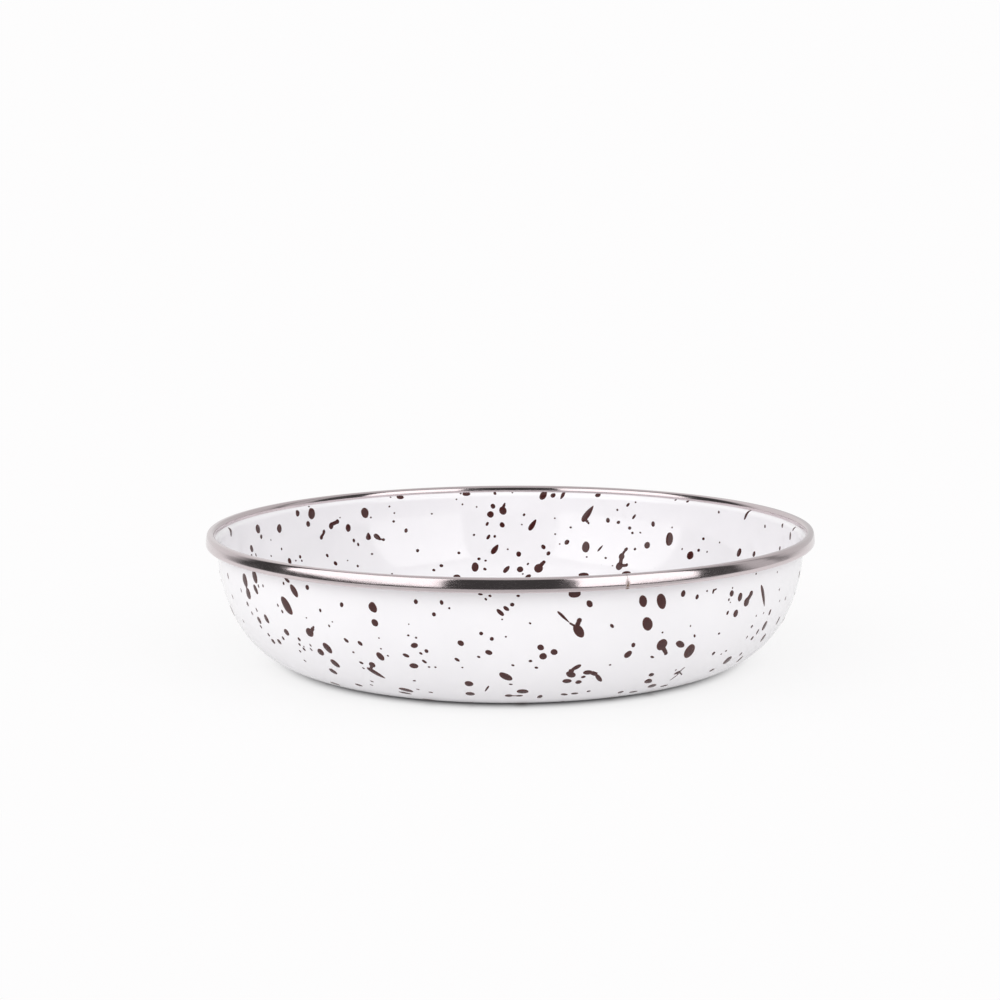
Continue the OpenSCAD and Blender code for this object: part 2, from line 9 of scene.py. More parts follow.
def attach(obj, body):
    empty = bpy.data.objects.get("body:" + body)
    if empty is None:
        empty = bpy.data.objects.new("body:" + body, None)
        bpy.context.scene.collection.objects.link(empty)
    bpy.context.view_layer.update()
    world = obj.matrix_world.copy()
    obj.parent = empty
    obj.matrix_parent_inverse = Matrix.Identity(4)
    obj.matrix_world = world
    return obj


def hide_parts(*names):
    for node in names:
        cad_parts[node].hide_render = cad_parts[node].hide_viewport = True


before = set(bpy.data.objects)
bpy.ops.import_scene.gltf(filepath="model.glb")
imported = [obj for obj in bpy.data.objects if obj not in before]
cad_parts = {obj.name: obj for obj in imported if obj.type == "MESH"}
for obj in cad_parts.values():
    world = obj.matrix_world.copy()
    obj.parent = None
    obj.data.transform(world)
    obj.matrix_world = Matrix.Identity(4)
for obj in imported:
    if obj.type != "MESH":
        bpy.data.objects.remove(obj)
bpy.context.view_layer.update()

MM = 0.001

# Sizes in mm, as in the part's source
RIM_R = 140.0
BOWL_HEIGHT = 60.0
WALL_REACH = 40.0
CORNER_RADIUS = 38.0
SIDE_RISE = 27.5
RIM_OVERHANG = 5.0
STEEL_THICKNESS = 0.8
ENAMEL_THICKNESS = 0.25
FLARE_RADIUS = 1.7
BAND_HEIGHT = 6.0
BAND_WIDTH = 4.0
BAND_SHEET = 0.4
BAND_ROUNDNESS = 0.52
SHOULDER_ROUNDNESS = 1.0
BAND_LEAN = 0.12
FLANGE_CLEARANCE = 0.4
SEAM_GAP = 0.1
SEAM_ANGLE = 19.0
DROP_EDGE = 0.1

WALL_THICKNESS = STEEL_THICKNESS + 2 * ENAMEL_THICKNESS
NECK_R = RIM_R - RIM_OVERHANG
BASE_R = NECK_R - WALL_REACH
FLANGE_TOP = BOWL_HEIGHT - BAND_HEIGHT / 2
NECK_Z = FLANGE_TOP - WALL_THICKNESS - FLARE_RADIUS
BASE_HANDLE = math.sqrt(2 / 3 * CORNER_RADIUS * (NECK_Z - SIDE_RISE))
WALL_HANDLES = np.array([
    [BASE_R, 0],
    [BASE_R + BASE_HANDLE, 0],
    [NECK_R, NECK_Z - SIDE_RISE],
    [NECK_R, NECK_Z],
])

# How finely the pieces are meshed
ROUND_STEPS = 360
WALL_STEPS = 72
FLARE_STEPS = 14
FLOOR_RINGS = (12.0, 30.0, 48.0, 64.0, 78.0, 88.0)
BAND_ROUND_STEPS = 480
BAND_STEPS = 60


# Section of the band about its middle

def signed_power(x, e):
    return np.sign(x) * np.abs(x) ** e


def band_section(inset, steps):
    """How far out and up the strip lies, from the inner lip over the top and the face to its underside."""
    t = np.radians(180 - 270 * np.arange(steps + 1) / steps)
    roundness = np.where(t > math.pi / 2, SHOULDER_ROUNDNESS, BAND_ROUNDNESS)
    up = (BAND_HEIGHT / 2 - inset) * signed_power(np.sin(t), roundness)
    out = (BAND_WIDTH / 2 - inset) * signed_power(np.cos(t), roundness) - BAND_LEAN * up
    return out, up


def band_mid_r(inset, steps):
    return RIM_R - inset - band_section(inset, steps)[0].max()


FLANGE_END_R = band_mid_r(BAND_SHEET, BAND_STEPS) + BAND_WIDTH / 2 - BAND_SHEET - FLANGE_CLEARANCE


# Section of the wall

def wall_curve(t, depth):
    """Points of the wall for t from 0 at the base to 1 at the neck, a depth in from the outer face."""
    a, b, c, d = WALL_HANDLES
    t = np.asarray(t, float)[:, None]
    s = 1 - t
    place = a * s**3 + 3 * b * s * s * t + 3 * c * s * t * t + d * t**3
    along = (b - a) * s * s + 2 * (c - b) * s * t + (d - c) * t * t
    along /= np.linalg.norm(along, axis=1)[:, None]
    inward = np.stack([-along[:, 1], along[:, 0]], 1)
    return place + depth * inward


def flare_curve(turn, depth):
    """Points of the flare for turns from 0 at the neck to a right angle at the flange."""
    turn = np.asarray(turn, float)
    radius = FLARE_RADIUS + depth
    return np.stack([NECK_R + FLARE_RADIUS - radius * np.cos(turn), NECK_Z + radius * np.sin(turn)], 1)


def skin(depth, wall_steps=WALL_STEPS, flare_steps=FLARE_STEPS):
    """One face of the wall's section, from the axis out to the edge of the flange."""
    floor = [[r, depth] for r in (0.0,) + FLOOR_RINGS]
    wall = wall_curve(np.linspace(0, 1, wall_steps + 1), depth)
    flare = flare_curve(np.linspace(0, math.pi / 2, flare_steps + 1)[1:], depth)
    edge = [[FLANGE_END_R, FLANGE_TOP - WALL_THICKNESS + depth]]
    return np.concatenate([floor, wall, flare, edge])


class Skin:
    """A face of the wall by the distance run up it: below 0 is the flat floor, past the neck the flare."""

    # How finely the face is tabled, and how many points are located at once
    WALL_POINTS = 1601
    FLOOR_POINTS = 950
    FLARE_POINTS = 161
    BLOCK = 2000

    def __init__(self, depth, outward):
        t = np.linspace(0, 1, self.WALL_POINTS)
        steps = np.linalg.norm(np.diff(wall_curve(t, 0), axis=0), axis=1)
        outer_run = np.concatenate([[0], np.cumsum(steps)])
        self.wall_run = outer_run[-1]
        floor_run = np.linspace(-BASE_R, 0, self.FLOOR_POINTS)[:-1]
        turn = np.linspace(0, math.pi / 2, self.FLARE_POINTS)[1:]
        floor = np.stack([BASE_R + floor_run, np.full_like(floor_run, depth)], 1)
        self.run = np.concatenate([floor_run, outer_run, self.wall_run + turn * (FLARE_RADIUS + depth)])
        self.place = np.concatenate([floor, wall_curve(t, depth), flare_curve(turn, depth)])
        along = np.gradient(self.place, axis=0)
        self.along = along / np.linalg.norm(along, axis=1)[:, None]
        self.out = outward * np.stack([self.along[:, 1], -self.along[:, 0]], 1)
        self.sign = outward

    def at(self, run, height):
        """(r, z) at a run, a height over the face."""
        columns = [np.interp(run, self.run, column) for column in (*self.place.T, *self.out.T)]
        return columns[0] + height * columns[2], columns[1] + height * columns[3]

    def locate(self, points):
        """Azimuth (radians), run and height over the face of points in mm."""
        r = np.hypot(points[:, 0], points[:, 1])
        flat = np.stack([r, points[:, 2]], 1)
        run, height = np.zeros(len(flat)), np.zeros(len(flat))
        for first in range(0, len(flat), self.BLOCK):
            part = flat[first:first + self.BLOCK]
            near = ((part[:, None] - self.place[None]) ** 2).sum(2).argmin(1)
            off = part - self.place[near]
            step = (off * self.along[near]).sum(1)
            pace = np.linalg.norm(np.gradient(self.place, axis=0)[near], axis=1)
            scale = np.gradient(self.run)[near] / pace
            run[first:first + self.BLOCK] = self.run[near] + step * scale
            height[first:first + self.BLOCK] = (off * self.out[near]).sum(1)
        turn = np.arctan2(points[:, 1], points[:, 0])
        azimuth = turn + math.pi / 2 if self.sign > 0 else math.pi / 2 - turn
        return azimuth, run, height

    def world(self, azimuth, run, height):
        """Points in mm from azimuths, runs and heights."""
        r, z = self.at(run, height)
        turn = azimuth - math.pi / 2 if self.sign > 0 else math.pi / 2 - azimuth
        return np.stack([r * np.cos(turn), r * np.sin(turn), z], 1)


# Meshes

def new_piece(name, points, faces, attributes=()):
    mesh = bpy.data.meshes.new(name)
    mesh.from_pydata((np.asarray(points) * MM).tolist(), [], faces)
    for label, values in attributes:
        attribute = mesh.attributes.new(label, "FLOAT", "POINT")
        attribute.data.foreach_set("value", np.asarray(values, np.float32))
    mesh.polygons.foreach_set("use_smooth", [True] * len(mesh.polygons))
    mesh.update()
    piece = bpy.data.objects.new(name, mesh)
    bpy.context.scene.collection.objects.link(piece)
    return piece


def revolve(name, chain, steps):
    """A closed body from a chain of (r, z) that starts and ends on the axis."""
    turns = np.arange(steps) * 2 * math.pi / steps
    rings = chain[1:-1]
    points = [[0, 0, chain[0][1]]]
    for r, z in rings:
        points += np.stack([r * np.cos(turns), r * np.sin(turns), np.full(steps, z)], 1).tolist()
    points.append([0, 0, chain[-1][1]])
    last = len(points) - 1
    faces = []
    for k in range(steps):
        n = (k + 1) % steps
        faces.append((0, 1 + n, 1 + k))
        for i in range(len(rings) - 1):
            a, b = 1 + i * steps, 1 + (i + 1) * steps
            faces.append((a + k, a + n, b + n, b + k))
        far = 1 + (len(rings) - 1) * steps
        faces.append((last, far + k, far + n))
    return new_piece(name, points, faces)


def coat(name, outer_depth, inner_depth):
    chain = np.concatenate([skin(outer_depth), skin(inner_depth)[::-1]])
    return revolve(name, chain, ROUND_STEPS)


# Rim band

BAND_BOTTOM = BOWL_HEIGHT - BAND_HEIGHT
# Edges of the strip that turn by more than this (degrees) stay crisp
BAND_CREASE = 35


def strip_face(inset, steps):
    """The strip's section from the inner lip over the top and the outer face to its hem under the rim."""
    out, up = band_section(inset, steps)
    r, z = band_mid_r(inset, steps) + out, FLANGE_TOP + up
    lip_r = r[0]
    into = NECK_R + FLARE_RADIUS - lip_r
    lip_z = NECK_Z + math.sqrt((FLARE_RADIUS + WALL_THICKNESS) ** 2 - max(into, 0) ** 2)
    hem_z = BAND_BOTTOM + inset
    hem_r = NECK_R + FLARE_RADIUS - math.sqrt(FLARE_RADIUS**2 - (hem_z - NECK_Z) ** 2)
    return np.concatenate([[[lip_r, lip_z]], np.stack([r, z], 1), [[hem_r, hem_z]]])


def rim_band(name):
    outer, inner = strip_face(0, BAND_STEPS), strip_face(BAND_SHEET, BAND_STEPS)
    loop = np.concatenate([outer, inner[::-1]])
    gap = SEAM_GAP / RIM_R
    start = math.radians(SEAM_ANGLE - 90) + gap / 2
    turns = start + (2 * math.pi - gap) * np.arange(BAND_ROUND_STEPS + 1) / BAND_ROUND_STEPS
    points, around, across = [], [], []
    step = np.linalg.norm(np.diff(outer, axis=0), axis=1)
    outer_across = np.concatenate([[0], np.cumsum(step)])
    loop_across = np.concatenate([outer_across, outer_across[::-1]])
    for turn in turns:
        points.append(np.stack([loop[:, 0] * math.cos(turn), loop[:, 0] * math.sin(turn), loop[:, 1]], 1))
        around.append(np.full(len(loop), (turn - start) * RIM_R))
        across.append(loop_across)
    n = len(loop)
    faces = []
    for k in range(BAND_ROUND_STEPS):
        for i in range(n):
            j = (i + 1) % n
            faces.append((k * n + i, k * n + j, (k + 1) * n + j, (k + 1) * n + i))
    half = n // 2
    for i in range(half - 1):
        a, b, c, d = i, i + 1, n - 2 - i, n - 1 - i
        faces.append((d, c, b, a))
        far = BAND_ROUND_STEPS * n
        faces.append((far + a, far + b, far + c, far + d))
    piece = new_piece(name, np.concatenate(points), faces,
                      (("around", np.concatenate(around)), ("across", np.concatenate(across))))
    piece.data.set_sharp_from_angle(angle=math.radians(BAND_CREASE))
    return piece


# Drops

# Heights over the wall that tell a solid drop's tips, rim and crest apart (mm)
TIP_HEIGHT = 0.04
RIM_TOLERANCE = 0.012


def islands(mesh):
    """The vertices of each separate body of a mesh, in mm."""
    places = np.zeros(len(mesh.vertices) * 3)
    mesh.vertices.foreach_get("co", places)
    places = np.round(places.reshape(-1, 3) / MM, 4)
    unique, index = np.unique(places, axis=0, return_inverse=True)
    index = index.reshape(-1)
    ends = np.zeros(len(mesh.edges) * 2, int)
    mesh.edges.foreach_get("vertices", ends)
    ends = index[ends].reshape(-1, 2)
    label = np.arange(len(unique))
    while True:
        low = np.minimum(label[ends[:, 0]], label[ends[:, 1]])
        before = label.copy()
        np.minimum.at(label, ends[:, 0], low)
        np.minimum.at(label, ends[:, 1], low)
        label = label[label]
        if (label == before).all():
            break
    order = np.argsort(label, kind="stable")
    cuts = np.nonzero(np.diff(label[order]))[0] + 1
    return [unique[part] for part in np.split(order, cuts)]


def read_drop(face, points):
    """A drop's place and sizes, from its solid: azimuth, run, length, lean, half width, taper and bend."""
    azimuth, run, height = face.locate(points)
    azimuth = azimuth[0] + (azimuth - azimuth[0] + math.pi) % (2 * math.pi) - math.pi
    r, _ = face.at(run.mean(), 0)
    flat = np.stack([azimuth * r, run], 1)
    rim = flat[np.abs(height - DROP_EDGE) < RIM_TOLERANCE]
    low = flat[height < TIP_HEIGHT]
    alone = np.linalg.norm(low[:, None] - rim[None], axis=2).min(1)
    tips = low[np.argsort(-alone)[:2]]
    tips = tips[np.argsort(tips[:, 0])]
    centre = tips.mean(0)
    mid_azimuth, mid_run = centre[0] / r, centre[1]
    mid_r, _ = face.at(mid_run, 0)
    local = lambda p: np.stack([(p[:, 0] / r - mid_azimuth) * mid_r, p[:, 1] - mid_run], 1)
    a, b = local(tips)
    length = np.linalg.norm(b - a)
    lean = math.atan2(*(b - a)[::-1])
    turn = np.array([[math.cos(lean), math.sin(lean)], [-math.sin(lean), math.cos(lean)]])
    rim = local(rim) @ turn.T
    crest = local(flat[height > DROP_EDGE + RIM_TOLERANCE]) @ turn.T
    t = crest[:, 0] / (length / 2)
    bend = (crest[:, 1] / (1 - t * t)).mean()
    widths = []
    for place in crest:
        away = np.linalg.norm((rim[:, None] + rim[None]) / 2 - place, axis=2)
        np.fill_diagonal(away, np.inf)
        i, j = np.unravel_index(away.argmin(), away.shape)
        widths.append(np.linalg.norm(rim[i] - rim[j]) / 2)
    ratio = np.array(widths) / np.sqrt(1 - t * t)
    taper_slope, half_width = np.polyfit(t, ratio, 1) if len(t) > 1 else (0.0, ratio[0])
    return mid_azimuth, mid_run, length, lean, half_width, taper_slope / half_width, bend


class Drops:
    """Gathers domed drops on one face of the wall into a single mesh."""

    # How deep a drop's rim sinks into the coat, how high its shoulder stands and its dome at most (mm)
    RIM_SUNK = 0.05
    SHOULDER = 0.05
    MOST_DOME = 0.09
    # Height of the dome as a part of the width
    DOMING = 0.045
    # Sides of a drop's mesh by its width (mm)
    LEAST_WIDTH = 0.3
    SIDES = ((2.4, 40), (1.2, 28), (0.0, 18))
    # How far an outline wanders, as a part of its reach, and how far out it may go
    WANDER = 0.045
    MOST_WANDER = 1.08
    # Points along the outlines that are compared
    OVAL_POINTS = 60
    NECK_POINTS = 72

    # A drop that ends this near the band runs on under it, by so much (mm)
    NEAR_BAND = 0.7
    UNDER_BAND = 1.4
    # How far a neck reaches into the drops that it joins, and how far it widens there, as parts of their
    # half widths, and how blunt its ends are
    NECK_BITE = 0.7
    NECK_FLARE = 0.75
    NECK_END = 0.1

    def __init__(self, face, band_run):
        self.face = face
        self.band_run = band_run
        self.points, self.faces, self.thick = [], [], []
        self.count = 0

    def add(self, azimuth, run, width, shape):
        """shape(rho, phi) maps the unit disc to mm along and up the wall from a drop's middle."""
        width_here = max(width, self.LEAST_WIDTH)
        sides = next(count for least, count in self.SIDES if width_here > least)
        dome = min(self.MOST_DOME, self.DOMING * width_here)
        # Part of the outline's reach, height in mm, and how thick the glaze lies, from 0 to 1
        rings = [
            (1.0, -2 * self.RIM_SUNK, 0.0),
            (1.0, -self.RIM_SUNK, 0.0),
            (0.975, 0.0, 0.0),
            (0.92, self.SHOULDER * 0.7, 0.25),
            (0.8, self.SHOULDER + 0.3 * dome, 0.6),
            (0.55, self.SHOULDER + 0.75 * dome, 0.9),
            (0.25, self.SHOULDER + dome, 1.0),
        ]
        if sides == self.SIDES[-1][1]:
            rings = rings[:4] + [rings[5]]
        phi = np.arange(sides) * 2 * math.pi / sides
        mid_r, _ = self.face.at(run, 0)
        first = self.count
        for rho, height, thick in rings:
            along, up = shape(np.full(sides, rho), phi)
            self.points.append(self.face.world(azimuth + along / mid_r, run + up, height))
            self.thick += [thick] * sides
        along, up = shape(np.zeros(1), np.zeros(1))
        self.points.append(self.face.world(azimuth + along / mid_r, run + up, self.SHOULDER + dome))
        self.thick.append(1.0)
        flip = self.face.sign < 0
        made = [tuple(first + k for k in range(sides))[::-1]]
        for i in range(len(rings) - 1):
            for k in range(sides):
                n = (k + 1) % sides
                a, b = first + i * sides, first + (i + 1) * sides
                made.append((a + k, a + n, b + n, b + k))
        top = first + len(rings) * sides
        made += [(top, top - sides + k, top - sides + (k + 1) % sides) for k in range(sides)]
        self.faces += [f[::-1] for f in made] if flip else made
        self.count = top + 1

    @staticmethod
    def outline(length, lean, half_width, taper, bend, rho, phi):
        """Places in mm along and up the wall from a drop's middle, for a point of the unit disc."""
        t = -rho * np.cos(phi)
        side = rho * np.sin(phi) * half_width * (1 + taper * t)
        slope = np.arctan2(-2 * bend * t, length / 2)
        x = length / 2 * t - np.sin(slope) * side
        y = bend * (1 - t * t) + np.cos(slope) * side
        return x * math.cos(lean) - y * math.sin(lean), x * math.sin(lean) + y * math.cos(lean)

    def oval(self, azimuth, run, length, lean, half_width, taper, bend, luck):
        """A drop as its solid has it, with an outline that wanders a little as thrown glaze does."""
        waves = []
        for k in (2, 3, 4, 5):
            size = luck.uniform(-1, 1) * self.WANDER / (k - 1)
            waves.append((k, size, luck.uniform(0, 2 * math.pi)))
        turns = np.linspace(0, 2 * math.pi, self.OVAL_POINTS)
        top = self.outline(length, lean, half_width, taper, bend, np.ones(self.OVAL_POINTS), turns)[1].max()
        spare = self.band_run - run - top
        stretch = (top + spare + self.UNDER_BAND) / top if abs(spare) < self.NEAR_BAND else 1.0

        def shape(rho, phi):
            wander = 1 + sum(size * np.cos(k * phi + turn) for k, size, turn in waves)
            reach = rho * np.minimum(wander, self.MOST_WANDER)
            along, up = self.outline(length, lean, half_width, taper, bend, reach, phi)
            return along, np.where(up > 0, up * stretch, up)

        self.add(azimuth, run, 2 * half_width, shape)

    def neck(self, one, other, width):
        """A run of glaze that joins two drops where they come nearest, and widens into each."""
        turns = np.linspace(0, 2 * math.pi, self.NECK_POINTS, endpoint=False)
        r, _ = self.face.at((one[1] + other[1]) / 2, 0)
        edges = []
        for azimuth, run, *sizes in (one, other):
            along, up = self.outline(*sizes, np.ones(self.NECK_POINTS), turns)
            edges.append(np.stack([azimuth * r + along, run + up], 1))
        away = np.linalg.norm(edges[0][:, None] - edges[1][None], axis=2)
        i, j = np.unravel_index(away.argmin(), away.shape)
        way = (edges[1][j] - edges[0][i]) / away[i, j]
        half_widths = one[4], other[4]
        start = edges[0][i] - self.NECK_BITE * half_widths[0] * way
        end = edges[1][j] + self.NECK_BITE * half_widths[1] * way
        middle, half = (start + end) / 2, np.linalg.norm(end - start) / 2
        across = np.array([-way[1], way[0]])

        def shape(rho, phi):
            t = -rho * np.cos(phi)
            side = rho * np.sin(phi) / np.sqrt(np.maximum(1 - t * t, self.NECK_END))
            flare = self.NECK_FLARE * np.where(t < 0, *half_widths)
            side = side * (width / 2 + np.maximum(flare - width / 2, 0) * t * t)
            return half * t * way[0] + side * across[0], half * t * way[1] + side * across[1]

        self.add(middle[0] / r, middle[1], width, shape)

    def piece(self, name):
        return new_piece(name, np.concatenate(self.points), self.faces, (("thick", self.thick),))


# Materials

GLASS_IOR = 1.53
# Noise, in features per metre
ENAMEL_TONE, ENAMEL_GLOSS, ENAMEL_WAVES, ENAMEL_SKIN, ENAMEL_FLECKS = 26.0, 140.0, 55.0, 900.0, 260.0
BROWN_MOTTLE, BROWN_GLOSS, BROWN_WAVES = 700.0, 300.0, 500.0
STRIP_PATCHES, RUST_GRAIN, SHEET_GRAIN = 90.0, 900.0, 400.0
# Drawing lines of the strip, in features per mm along and across it
LINES_ALONG, LINES_ACROSS = 0.05, 9.0
# Heights of the relief, in metres
ENAMEL_WAVE_HEIGHT, ENAMEL_SKIN_HEIGHT, BROWN_WAVE_HEIGHT = 0.00005, 0.0000015, 0.000006
LINE_HEIGHT, GRAIN_HEIGHT = 0.000003, 0.00001
# Share of the cells that hold no fleck, the radii between which a fleck fades, and its strength
FLECKLESS, FLECK_FADE, FLECK_STRENGTH = 0.86, (0.03, 0.1), 0.35
# Distances in mm over which the rust thins out from the seam and gathers towards the strip's lower edge
RUST_NEAR, RUST_LOW = (0.15, 1.1), (7.0, 10.0)
# The part of noise that its spread is taken from
NOISE_RANGE = (0.3, 0.7)


def material(name):
    made = bpy.data.materials.new(name)
    made.use_nodes = True
    nodes, links = made.node_tree.nodes, made.node_tree.links
    return made, nodes, links, nodes["Principled BSDF"]


def noise(nodes, links, scale, detail=2.0, roughness=0.5, source=None):
    """A noise texture in the part's own coordinates, in features per metre."""
    made = nodes.new("ShaderNodeTexNoise")
    made.inputs["Scale"].default_value = scale
    made.inputs["Detail"].default_value = detail
    made.inputs["Roughness"].default_value = roughness
    if source is None:
        source = nodes.new("ShaderNodeTexCoord").outputs["Object"]
    links.new(source, made.inputs["Vector"])
    return made.outputs["Fac"]


def ramp(nodes, links, source, stops):
    made = nodes.new("ShaderNodeValToRGB")
    links.new(source, made.inputs["Fac"])
    marks = made.color_ramp.elements
    while len(marks) < len(stops):
        marks.new(0.5)
    for mark, (place, colour) in zip(marks, stops):
        mark.position = place
        mark.color = (*colour, 1)
    return made.outputs["Color"]


def spread(nodes, links, source, low, high, from_low=0.0, from_high=1.0):
    made = nodes.new("ShaderNodeMapRange")
    made.inputs["From Min"].default_value = from_low
    made.inputs["From Max"].default_value = from_high
    made.inputs["To Min"].default_value = low
    made.inputs["To Max"].default_value = high
    links.new(source, made.inputs["Value"])
    return made.outputs["Result"]


def math_node(nodes, links, kind, a, b):
    made = nodes.new("ShaderNodeMath")
    made.operation = kind
    for socket, value in zip(made.inputs, (a, b)):
        if isinstance(value, (int, float)):
            socket.default_value = value
        else:
            links.new(value, socket)
    return made.outputs["Value"]


def bump(nodes, links, height, distance, normal=None):
    made = nodes.new("ShaderNodeBump")
    made.inputs["Strength"].default_value = 1.0
    made.inputs["Distance"].default_value = distance
    links.new(height, made.inputs["Height"])
    if normal is not None:
        links.new(normal, made.inputs["Normal"])
    return made.outputs["Normal"]


def white_enamel():
    """Fired white glass on steel: a deep gloss with slow waves, a fine skin and a few faint flecks."""
    made, nodes, links, shader = material("white_enamel_gloss")
    tone = noise(nodes, links, ENAMEL_TONE, detail=3.0)
    base = ramp(nodes, links, tone, [(0.3, (0.845, 0.829, 0.85)), (0.7, (0.875, 0.859, 0.88))])
    cells = nodes.new("ShaderNodeTexVoronoi")
    cells.inputs["Scale"].default_value = ENAMEL_FLECKS
    links.new(nodes.new("ShaderNodeTexCoord").outputs["Object"], cells.inputs["Vector"])
    chosen = math_node(nodes, links, "GREATER_THAN", cells.outputs["Color"], FLECKLESS)
    fleck = math_node(nodes, links, "MULTIPLY", chosen,
                      spread(nodes, links, cells.outputs["Distance"], 1.0, 0.0, *FLECK_FADE))
    flecked = nodes.new("ShaderNodeMix")
    flecked.data_type = "RGBA"
    links.new(math_node(nodes, links, "MULTIPLY", fleck, FLECK_STRENGTH), flecked.inputs["Factor"])
    links.new(base, flecked.inputs["A"])
    flecked.inputs["B"].default_value = (0.42, 0.4, 0.4, 1)
    links.new(flecked.outputs["Result"], shader.inputs["Base Color"])
    shader.inputs["IOR"].default_value = GLASS_IOR
    gloss = spread(nodes, links, noise(nodes, links, ENAMEL_GLOSS), 0.05, 0.09, *NOISE_RANGE)
    links.new(gloss, shader.inputs["Roughness"])
    slow = bump(nodes, links, noise(nodes, links, ENAMEL_WAVES, detail=1.0), ENAMEL_WAVE_HEIGHT)
    fine = bump(nodes, links, noise(nodes, links, ENAMEL_SKIN, detail=1.0), ENAMEL_SKIN_HEIGHT, slow)
    links.new(fine, shader.inputs["Normal"])
    return made


def brown_enamel():
    """Splattered brown glass: near black where it lies thick, redder where it thins at the edge."""
    made, nodes, links, shader = material("brown_enamel_gloss")
    thick = nodes.new("ShaderNodeAttribute")
    thick.attribute_name = "thick"
    mottle = spread(nodes, links, noise(nodes, links, BROWN_MOTTLE, detail=3.0), -0.25, 0.25, *NOISE_RANGE)
    depth = math_node(nodes, links, "ADD", thick.outputs["Fac"], mottle)
    base = ramp(nodes, links, depth, [
        (0.0, (0.15, 0.05, 0.04)),
        (0.3, (0.065, 0.017, 0.015)),
        (1.0, (0.05, 0.0115, 0.0105)),
    ])
    links.new(base, shader.inputs["Base Color"])
    shader.inputs["IOR"].default_value = GLASS_IOR
    shader.inputs["Specular IOR Level"].default_value = 0.4
    gloss = spread(nodes, links, noise(nodes, links, BROWN_GLOSS), 0.08, 0.16, *NOISE_RANGE)
    links.new(gloss, shader.inputs["Roughness"])
    waves = bump(nodes, links, noise(nodes, links, BROWN_WAVES, detail=1.0), BROWN_WAVE_HEIGHT)
    links.new(waves, shader.inputs["Normal"])
    return made


def stainless_band():
    """Polished stainless with drawing lines along the strip, dull patches, and rust at the butt seam."""
    made, nodes, links, shader = material("stainless_band_polish")
    around = nodes.new("ShaderNodeAttribute")
    around.attribute_name = "around"
    across = nodes.new("ShaderNodeAttribute")
    across.attribute_name = "across"
    along = nodes.new("ShaderNodeCombineXYZ")
    links.new(math_node(nodes, links, "MULTIPLY", around.outputs["Fac"], LINES_ALONG), along.inputs["X"])
    links.new(math_node(nodes, links, "MULTIPLY", across.outputs["Fac"], LINES_ACROSS), along.inputs["Y"])
    lines = noise(nodes, links, 1.0, detail=4.0, roughness=0.7, source=along.outputs["Vector"])
    patches = noise(nodes, links, STRIP_PATCHES, detail=3.0)
    rough = math_node(nodes, links, "ADD", spread(nodes, links, lines, 0.05, 0.13, *NOISE_RANGE),
                      spread(nodes, links, patches, 0.0, 0.06, 0.4, 0.75))
    length = 2 * math.pi * RIM_R
    from_seam = math_node(nodes, links, "MINIMUM", around.outputs["Fac"],
                          math_node(nodes, links, "SUBTRACT", length, around.outputs["Fac"]))
    near = spread(nodes, links, from_seam, 1.0, 0.0, *RUST_NEAR)
    low = spread(nodes, links, across.outputs["Fac"], 0.08, 1.0, *RUST_LOW)
    eaten = spread(nodes, links, noise(nodes, links, RUST_GRAIN, detail=3.0), 0.0, 1.6, *NOISE_RANGE)
    rust = math_node(nodes, links, "MULTIPLY", math_node(nodes, links, "MULTIPLY", near, low), eaten)
    rust = math_node(nodes, links, "MINIMUM", rust, 1.0)
    steel = ramp(nodes, links, lines, [(0.3, (0.61, 0.535, 0.545)), (0.7, (0.72, 0.635, 0.65))])
    mixed = nodes.new("ShaderNodeMix")
    mixed.data_type = "RGBA"
    links.new(rust, mixed.inputs["Factor"])
    links.new(steel, mixed.inputs["A"])
    mixed.inputs["B"].default_value = (0.13, 0.06, 0.02, 1)
    links.new(mixed.outputs["Result"], shader.inputs["Base Color"])
    links.new(spread(nodes, links, rust, 1.0, 0.1), shader.inputs["Metallic"])
    links.new(math_node(nodes, links, "ADD", rough, math_node(nodes, links, "MULTIPLY", rust, 0.5)),
              shader.inputs["Roughness"])
    links.new(bump(nodes, links, lines, LINE_HEIGHT), shader.inputs["Normal"])
    return made


def pressed_steel():
    """The bare sheet under the enamel."""
    made, nodes, links, shader = material("pressed_steel_sheet")
    grain = noise(nodes, links, SHEET_GRAIN, detail=4.0)
    links.new(ramp(nodes, links, grain, [(0.3, (0.3, 0.31, 0.33)), (0.7, (0.42, 0.43, 0.45))]),
              shader.inputs["Base Color"])
    shader.inputs["Metallic"].default_value = 1.0
    links.new(spread(nodes, links, grain, 0.4, 0.6), shader.inputs["Roughness"])
    links.new(bump(nodes, links, grain, GRAIN_HEIGHT), shader.inputs["Normal"])
    return made


# The bowl

outside = Skin(0.0, 1)
inside = Skin(WALL_THICKNESS, -1)
enamel, brown, stainless = white_enamel(), brown_enamel(), stainless_band()


def settle(piece, node, finish):
    piece.data.materials.append(finish)
    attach(piece, "root")
    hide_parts(node)


settle(coat("outer_coat", 0.0, ENAMEL_THICKNESS), "outer_enamel", enamel)
settle(coat("inner_coat", WALL_THICKNESS, WALL_THICKNESS - ENAMEL_THICKNESS),
       "inner_enamel", enamel)
settle(rim_band("rim_strip"), "rim_band", stainless)

